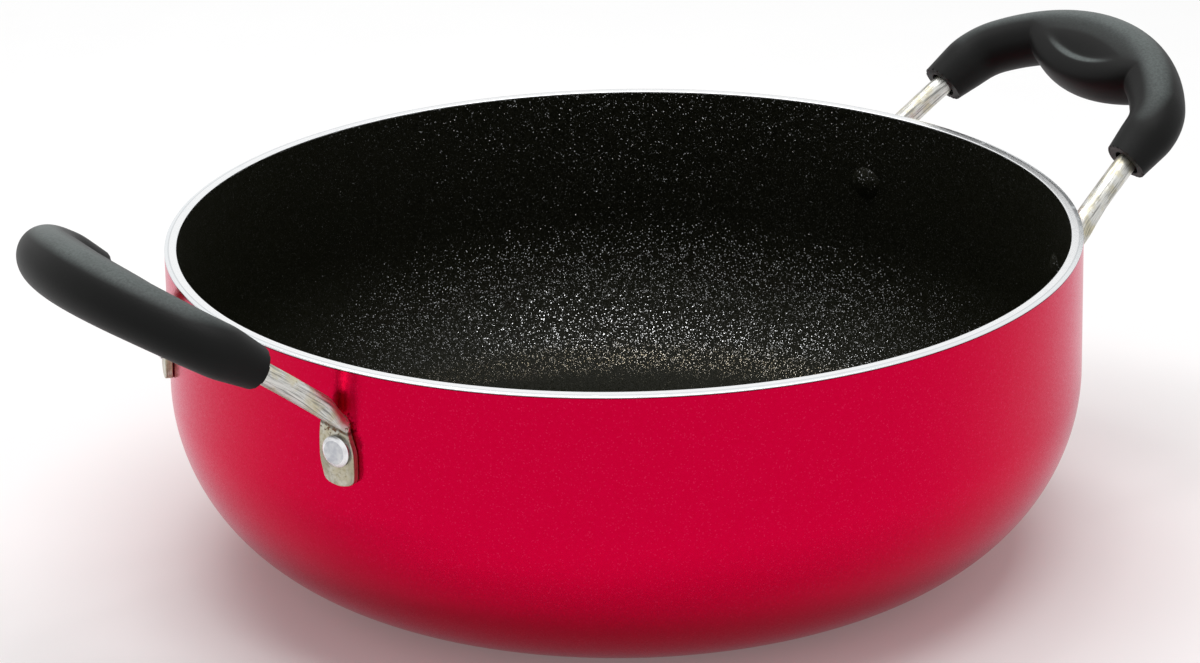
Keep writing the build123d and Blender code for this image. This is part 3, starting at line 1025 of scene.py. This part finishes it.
def ear_sections(scene, fold):
    """The sections from the fold down to the ear's rounded tip."""
    pan, handle = scene.kadai_pan, scene.kadai_handle
    opening = fold.up.angle(-fold.out)
    axis = fold.up.cross(-fold.out).normalized()
    half, plate, edge = handle.fold_half_width, handle.ear_thickness, handle.ear_edge
    fold_count, ear_count = 9, 30
    fold_side, fold_rise = 6 * edge, 1.5 * edge
    sections = []
    for i in range(1, fold_count + 1):
        part = i / fold_count
        thick = Matrix.Rotation(opening * part, 3, axis) @ fold.up
        height = blend(fold.rise, plate, ease(part))
        side_round = blend(half * 0.97, fold_side, part)
        rise_round = min(blend(fold.rise * 0.95, fold_rise, part), height - 0.4 * edge)
        sharp = min(blend(2, 1, part) * edge, height - rise_round)
        run = fold.length + 0.3 * MM * part
        foot = fold.foot - fold.axis * handle.fold_lean
        sections.append(Section(foot, fold.axis, thick, half, height, (side_round, rise_round), sharp, run))
    tip = pan.height - handle.rivet_drop - handle.ear_below
    fall = fold.foot.z - tip
    for i in range(1, ear_count + 1):
        drop = fall * i / ear_count
        near_tip = max(0, (drop - fall + handle.ear_tip) / handle.ear_tip)
        if near_tip > 0:
            near_tip = sin(near_tip * pi / 2)
            drop = fall - handle.ear_tip * (1 - near_tip)
        swell = sin(pi * min(1, drop / fall))
        width = blend(half, handle.ear_half_width, swell) * max(0.04, 1 - near_tip ** 3.4) ** 0.5
        turned = ease(drop / (0.5 * fall))
        lean = -blend(handle.fold_lean, handle.ear_lean, turned) * (1 - ease((drop / fall - 0.5) / 0.4))
        foot = fold.out * fold.face + Vector((0, 0, fold.foot.z - drop))
        side = fold.foot.dot(fold.across) * (1 - turned)
        wide = blend(fold.axis, fold.across, turned).normalized()
        foot += fold.across * side + wide * lean
        sharpened = min(1, 2.5 * drop / fall)
        widest_round = width * 0.9
        side_round = min(blend(fold_side, edge, sharpened), widest_round)
        rise_round = blend(fold_rise, edge, sharpened)
        sections.append(Section(foot, wide, -fold.out, width, plate, (side_round, rise_round),
                                min(edge, widest_round), fold.length + drop))
    return sections


def skinned(name, outlines, runs):
    """A closed mesh over sections' outlines, whose UV map runs along it and round it."""
    mesh = bpy.data.meshes.new(name)
    piece = bpy.data.objects.new(name, mesh)
    bpy.context.collection.objects.link(piece)
    shape = bmesh.new()
    layer = shape.loops.layers.uv.new("run")
    rows = [[shape.verts.new(point) for point in outline] for outline in outlines]
    sides = len(outlines[0])
    point_gap = 0.6 * MM
    for i in range(len(rows) - 1):
        for j in range(sides):
            k = (j + 1) % sides
            face = shape.faces.new((rows[i][j], rows[i][k], rows[i + 1][k], rows[i + 1][j]))
            corners = ((i, j), (i, j + 1), (i + 1, j + 1), (i + 1, j))
            for loop, (row, column) in zip(face.loops, corners):
                loop[layer].uv = (runs[row], point_gap * column)
    shape.faces.new(reversed(rows[0]))
    shape.faces.new(rows[-1])
    bmesh.ops.recalc_face_normals(shape, faces=shape.faces)
    shape.to_mesh(mesh)
    shape.free()
    return piece


class KADAI_OT_rods(bpy.types.Operator):
    """Models the forged rod once, drills its ears and sets a copy at each side"""
    bl_idname = "kadai.rods"
    bl_label = "Rods"

    def execute(self, context):
        scene = context.scene
        handle = scene.kadai_handle
        fold = Fold(scene)
        sections = arm_sections(handle, fold) + ear_sections(scene, fold)
        half = [section.ring() for section in sections]
        runs = [section.run for section in sections]
        other = [[Vector((p.x, -p.y, p.z)) for p in ring] for ring in reversed(half[1:])]
        model = skinned("rod_model", other + half, [-run for run in reversed(runs[1:])] + runs)
        drill_rivet_holes(model, scene, (handle.ear_angle, -handle.ear_angle), 12 * handle.ear_thickness)
        smooth(model, 32)
        apply_modifier(model, "WEIGHTED_NORMAL", keep_sharp=True)
        give_finishes(model, steel_finish(scene.kadai_colours, fold.length))
        for side in SIDES:
            piece = copy_piece(model, "forged_rod_" + side, side_turn(side))
            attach(piece, "root")
            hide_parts("handle_rod_" + side)
        remove(model)
        return {"FINISHED"}


def grip_stations(grip, bow, half):
    """The distances of the sections from the middle, past both mouths, close at the lobe's corners."""
    corner = bow.crown_angle * bow.crown_radius
    search_step, close_by = 0.02 * MM, 0.7 * MM
    while lobe_width(grip, bow, corner) < grip.half_width:
        corner -= search_step
    count = int(corner / grip.step)
    side = [(corner - close_by) * i / count for i in range(count + 1)] + [corner, corner + close_by]
    start = side[-1]
    count = int((half - start) / grip.step)
    side += [start + (half - start) * i / count for i in range(1, count + 1)]
    return [-d for d in reversed(side[1:])] + side


def grip_section(grip, bow, distance, half):
    """The outer, inner and thick half sizes of the grip at a distance from the middle."""
    distance = abs(distance)
    taper_start = bow.half_length(bow.arm_end.x)
    taper = max(0, (distance - taper_start) / (half - taper_start))
    outer = grip.half_width + (grip.mouth_half_width - grip.half_width) * taper
    thick = grip.half_thickness + (grip.mouth_half_thickness - grip.half_thickness) * taper
    return outer, max(outer, lobe_width(grip, bow, distance)), thick


def lobe_width(grip, bow, distance):
    """How far the lobe runs in from the rod's axis."""
    angle = distance / bow.crown_radius
    reach = bow.crown_radius - grip.lobe_width + grip.lobe_radius
    side = reach * sin(angle)
    if angle > bow.crown_angle or abs(side) >= grip.lobe_radius:
        return 0
    return bow.crown_radius - (reach * cos(angle) - sqrt(grip.lobe_radius ** 2 - side ** 2))


def straight_bar(name, stations, sections, sides):
    """A bar along +Y: a circle that is extruded and resized from section to section."""
    deselect_all()
    first = sections[0]
    bpy.ops.mesh.primitive_circle_add(vertices=sides, radius=1, fill_type="NGON", rotation=(pi / 2, 0, 0),
                                      location=(0, stations[0], 0))
    bar = begin_edit(name)
    bpy.ops.transform.resize(value=(first[0], 1, first[1]), center_override=(0, stations[0], 0))
    width, thick = first
    for before, station, section in zip(stations, stations[1:], sections[1:]):
        move = {"value": (0, station - before, 0)}
        bpy.ops.mesh.extrude_region_move(TRANSFORM_OT_translate=move)
        value = (section[0] / width, 1, section[1] / thick)
        bpy.ops.transform.resize(value=value, center_override=(0, station, 0))
        width, thick = section
    return bar


def widen_lobe(bar, places, sections, sides):
    """Squares up and draws out the inner half of each section of the lobe."""
    squareness = bpy.context.scene.kadai_grip.lobe_square
    slack = 0.02 * MM
    squaring = 1.7
    for place, (outer, inner, thick) in zip(places, sections):
        if inner - outer < slack:
            continue
        swell = min(1, squaring * (inner - outer) / inner)
        square = 2 + (squareness - 2) * swell
        for i in range(1, sides // 4):
            x = cos(2 * pi * i / sides)
            factor = (1 - x ** square) ** (1 / square) / sqrt(1 - x * x)
            select_points(bar, lambda p: abs(p.y - place) < slack and abs(p.x + x * outer) < slack)
            bpy.ops.transform.resize(value=(1, 1, factor), center_override=(0, place, 0))
        select_points(bar, lambda p: abs(p.y - place) < slack and p.x < -slack)
        bpy.ops.transform.resize(value=(inner / outer, 1, 1), center_override=(0, place, 0))


def fill_lower(bar, places, stations, grip, half):
    """Makes the lower half fuller in the middle and slimmer towards the mouths."""
    slack = 0.02 * MM
    for place, station in zip(places, stations):
        factor = blend(grip.lower_middle, grip.lower_mouth, ease(abs(place) / half))
        select_points(bar, lambda p: abs(p.y - station) < slack and p.z < -slack)
        bpy.ops.transform.resize(value=(1, 1, factor), center_override=(0, station, 0))


def bent_along(piece, guide):
    """Bends a straight bar along the bow. The modifier turns Z inwards, so the bar is turned first."""
    settle(piece, Matrix.Rotation(pi / 2, 4, "Y"))
    apply_modifier(piece, "CURVE", object=guide, deform_axis="POS_Y")


def channel_cutter(scene, bow, middle, guide):
    """The room for the rod: a long channel, wider for a short way in from each mouth."""
    grip, handle = scene.kadai_grip, scene.kadai_handle
    narrow = handle.rod_radius + grip.channel_clearance
    wide = handle.rod_radius + grip.cavity_clearance
    inside = bow.half_length(grip.mouth_reach) - grip.cavity_depth
    short_of_guide = 0.2 * MM
    end = middle - short_of_guide
    count = int(inside / grip.step)
    run = [inside * i / count for i in range(-count, count + 1)]
    widths = [wide, wide] + [narrow] * len(run) + [wide, wide]
    stations = [middle + place for place in [-end, -inside] + run + [inside, end]]
    bar = straight_bar("rod_channel", stations, [(w, w) for w in widths], 32)
    tidy_mesh()
    bent_along(bar, guide)
    return bar


def press_dish(piece, grip):
    """Presses the thumb dish into the top of the lobe: steep at its ridge, shallow at its far edge."""
    group = piece.vertex_groups.new(name="dish")
    near = Vector((grip.dish_near + grip.dish_near_radius, 0))
    far = Vector((grip.dish_far - grip.dish_far_radius, 0))
    for point in piece.data.vertices:
        if point.co.z <= 0:
            continue
        place = point.co.xy
        from_ridge = (grip.dish_near_radius - (place - near).length) / grip.dish_near_run
        from_edge = (grip.dish_far_radius - (place - far).length) / grip.dish_far_run
        weight = ease(from_ridge) * ease(from_edge)
        if weight > 0:
            group.add([point.index], weight, "REPLACE")
    apply_modifier(piece, "DISPLACE", direction="Z", strength=-grip.dish_depth, mid_level=0,
                   vertex_group="dish")


def cut_mouths(piece, grip):
    """Cuts both ends square to the handle and rounds their edges."""
    open_mesh(piece, "EDGE")
    bpy.ops.mesh.bisect(plane_co=(grip.mouth_reach, 0, 0), plane_no=(-1, 0, 0), use_fill=True,
                        clear_outer=True)
    slack = 0.001 * MM

    def on_mouth(edge):
        flat = [abs(face.normal.x) > 0.99 for face in edge.link_faces]
        return all(abs(p.co.x - grip.mouth_reach) < slack for p in edge.verts) and not all(flat)

    select_edges(piece, on_mouth)
    bpy.ops.mesh.bevel(offset=grip.mouth_bevel, segments=4, profile=0.5)
    bpy.ops.object.mode_set(mode="OBJECT")


def half_grip(whole, name, sign, bevel):
    """The upper or the lower half, cut at the parting plane and bevelled there."""
    half = copy_piece(whole, name, Matrix.Identity(4))
    open_mesh(half, "EDGE")
    bpy.ops.mesh.bisect(plane_co=(0, 0, 0), plane_no=(0, 0, -sign), use_fill=True, clear_outer=True)
    slack = 0.001 * MM

    def on_parting(edge):
        flat = [abs(face.normal.z) > 0.99 and abs(face.calc_center_median().z) < slack
                for face in edge.link_faces]
        return all(abs(p.co.z) < slack for p in edge.verts) and any(flat) and not all(flat)

    select_edges(half, on_parting)
    bpy.ops.mesh.bevel(offset=bevel, segments=2, profile=0.5)
    bpy.ops.object.mode_set(mode="OBJECT")
    return half


class KADAI_OT_grips(bpy.types.Operator):
    """Models the two-part grip once, and sets a copy on each rod"""
    bl_idname = "kadai.grips"
    bl_label = "Grips"

    def execute(self, context):
        scene = context.scene
        grip = scene.kadai_grip
        bow = Bow(scene)
        raw_reach = grip.mouth_reach - 3 * MM
        half = bow.half_length(raw_reach)
        guide = bow.guide(raw_reach - grip.lead * bow.along.x, 0.4 * MM)
        places = grip_stations(grip, bow, half)
        middle = half + grip.lead
        stations = [middle + place for place in places]
        sections = [grip_section(grip, bow, place, half) for place in places]
        sides = 24
        whole = straight_bar("grip_whole", stations, [(s[0], s[2]) for s in sections], sides)
        widen_lobe(whole, stations, sections, sides)
        fill_lower(whole, places, stations, grip, half)
        tidy_mesh()
        apply_modifier(whole, "SUBSURF", levels=3, render_levels=3)
        bent_along(whole, guide)
        press_dish(whole, grip)
        cut_mouths(whole, grip)
        cut(whole, channel_cutter(scene, bow, middle, guide))
        material = plastic_finish(scene.kadai_colours)
        halves = {}
        for part, sign in (("upper", 1), ("lower", -1)):
            halves[part] = half_grip(whole, "grip_cover_" + part, sign, grip.parting_bevel)
        for part, model in halves.items():
            smooth(model, 40)
            give_finishes(model, material)
            for side in SIDES:
                piece = copy_piece(model, "grip_%s_cover_%s" % (part, side), handle_matrix(scene, side))
                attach(piece, "root")
                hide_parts("grip_%s_%s" % (part, side))
        remove(whole, guide, *halves.values())
        return {"FINISHED"}


def rivet_profile(rivet, ear_face):
    """The rivet's section, from the top of the inner head to the middle of the outer one."""
    sphere = (rivet.inner_head ** 2 + rivet.inner_height ** 2) / (2 * rivet.inner_height)
    edge = acos((sphere - rivet.inner_height) / sphere)
    centre = (0, sphere - rivet.inner_height)
    dome = [(sphere * sin(edge * i / 12), centre[1] - sphere * cos(edge * i / 12)) for i in range(13)]
    top = ear_face + rivet.outer_height
    bevel = rivet.outer_bevel
    softened = 0.1 * bevel
    crown = 0.12 * MM
    profile = dome + [(rivet.shank, 0), (rivet.shank, ear_face), (rivet.outer_head, ear_face)]
    shoulder = top - crown - 0.6 * bevel
    profile += [(rivet.outer_head, shoulder - softened), (rivet.outer_head - softened, shoulder)]
    profile += [(rivet.outer_head - bevel, top - crown)]
    profile += [((rivet.outer_head - bevel) * s, top - crown * s * s) for s in (0.95, 0.6, 0.3, 0.0)]
    return profile


class KADAI_OT_rivets(bpy.types.Operator):
    """Spins one rivet and sets a copy in each hole"""
    bl_idname = "kadai.rivets"
    bl_label = "Rivets"

    def execute(self, context):
        scene = context.scene
        pan, handle, rivet = scene.kadai_pan, scene.kadai_handle, scene.kadai_rivet
        tones = scene.kadai_colours
        ear_face = pan.wall + handle.ear_gap + handle.ear_thickness
        model = turned_piece("rivet_model", rivet_profile(rivet, ear_face), rivet.steps)
        smooth(model, 30)
        give_finishes(model, rivet_finish("rivet_face", tones), bpy.data.materials["flecked_film"],
                      rivet_finish("rivet_chamfer_highlight", tones), rivet_finish("rivet_side_shade", tones))
        film, chamfer, side = 1, 2, 3
        steep, level = 0.2, 0.93
        finish_faces(model, film, lambda p, n: p.z < 0)
        # painted highlight on the chamfer and painted shade on the side: one aluminium, in a lighter and a
        # darker tone by how each part faces the light
        finish_faces(model, chamfer, lambda p, n: p.z > ear_face and steep < n.z < level)
        finish_faces(model, side, lambda p, n: p.z > ear_face and abs(n.z) < steep)
        for node, angle in rivet_names(scene).items():
            piece = copy_piece(model, node.replace("rivet", "rivet_set"), rivet_matrix(scene, angle))
            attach(piece, "root")
            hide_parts(node)
        remove(model)
        return {"FINISHED"}


class KADAI_OT_screws(bpy.types.Operator):
    """Gives the sunk grip screws their zinc finish"""
    bl_idname = "kadai.screws"
    bl_label = "Screws"

    def execute(self, context):
        material = screw_finish(context.scene.kadai_colours)
        for side in SIDES:
            for end in ENDS:
                give_finishes(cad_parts["grip_screw_%s_%s" % (end, side)], material)
        return {"FINISHED"}


# Stage

def add_lamp(name, place, aim, size, power):
    """A square lamp that faces its aim."""
    deselect_all()
    bpy.ops.object.light_add(type="AREA", location=place)
    lamp = bpy.context.object
    lamp.name = name
    lamp.data.size = size
    lamp.data.energy = power
    lamp.rotation_euler = (Vector(aim) - Vector(place)).to_track_quat("-Z", "Y").to_euler()


class KADAI_OT_stage(bpy.types.Operator):
    """Adds the floor, the lamps, the white surroundings and the camera"""
    bl_idname = "kadai.stage"
    bl_label = "Stage"

    def execute(self, context):
        scene = context.scene
        stage = scene.kadai_stage
        deselect_all()
        bpy.ops.mesh.primitive_plane_add(size=stage.floor_size, location=(0, 0, 0))
        floor = bpy.context.object
        floor.name = "floor"
        give_finishes(floor, floor_finish(scene.kadai_colours, stage.floor_glow))
        self.light_world(scene, stage.world_light)
        add_lamp("lamp_key", stage.key_place, stage.lamp_aim, stage.lamp_size, stage.key_power)
        add_lamp("lamp_top", stage.top_place, stage.lamp_aim, stage.lamp_size, stage.top_power)
        self.place_camera(scene, stage)
        scene.view_settings.view_transform = "Standard"
        return {"FINISHED"}

    def light_world(self, scene, strength):
        """White surroundings: full white where they are seen, softer as light."""
        world = scene.world or bpy.data.worlds.new("surroundings")
        scene.world = world
        world.use_nodes = True
        world.node_tree.nodes.clear()
        base = Shade(world.node_tree)
        seen = seen_rays(base)
        level = seen + (1 - seen) * strength
        glow = base.node("ShaderNodeBackground", inputs={"Color": (1.0, 1.0, 1.0, 1.0), "Strength": level})
        base.node("ShaderNodeOutputWorld", inputs={"Surface": glow})

    def place_camera(self, scene, stage):
        """A long lens, aimed from the photograph's angle."""
        deselect_all()
        flat = cos(stage.elevation)
        ahead = Vector((sin(stage.azimuth) * flat, cos(stage.azimuth) * flat, -sin(stage.elevation)))
        bpy.ops.object.camera_add(location=Vector(stage.aim) - ahead * stage.distance)
        camera = bpy.context.object
        camera.name = "camera"
        camera.data.lens = stage.lens
        camera.data.sensor_fit = "HORIZONTAL"
        camera.data.sensor_width = 36
        camera.rotation_mode = "QUATERNION"
        lean = Quaternion((0, 0, 1), stage.roll)
        camera.rotation_quaternion = ahead.to_track_quat("-Z", "Y") @ lean
        scene.camera = camera


class KADAI_PT_panel(bpy.types.Panel):
    """Lists the pieces of the kadai and their settings"""
    bl_idname = "KADAI_PT_panel"
    bl_label = "Kadai"
    bl_space_type = "VIEW_3D"
    bl_region_type = "UI"
    bl_category = "Kadai"

    def draw(self, context):
        layout = self.layout
        for operator in OPERATORS:
            layout.operator(operator.bl_idname)
        for group, kind in GROUPS.items():
            box = layout.box()
            box.label(text=kind.__doc__)
            for name in kind.__annotations__:
                box.prop(getattr(context.scene, group), name)


OPERATORS = (KADAI_OT_pan, KADAI_OT_rods, KADAI_OT_grips, KADAI_OT_rivets, KADAI_OT_screws, KADAI_OT_stage)


def register():
    """Registers the settings, the operators and the panel."""
    for group, kind in GROUPS.items():
        bpy.utils.register_class(kind)
        setattr(bpy.types.Scene, group, PointerProperty(type=kind))
    for kind in (*OPERATORS, KADAI_PT_panel):
        bpy.utils.register_class(kind)


def unregister():
    """Takes them away again."""
    for kind in reversed((*OPERATORS, KADAI_PT_panel)):
        bpy.utils.unregister_class(kind)
    for group, kind in reversed(GROUPS.items()):
        delattr(bpy.types.Scene, group)
        bpy.utils.unregister_class(kind)


def main():
    """Models the pieces and sets the stage."""
    register()
    for operator in OPERATORS:
        group, name = operator.bl_idname.split(".")
        getattr(getattr(bpy.ops, group), name)()


if __name__ == "__main__":
    main()
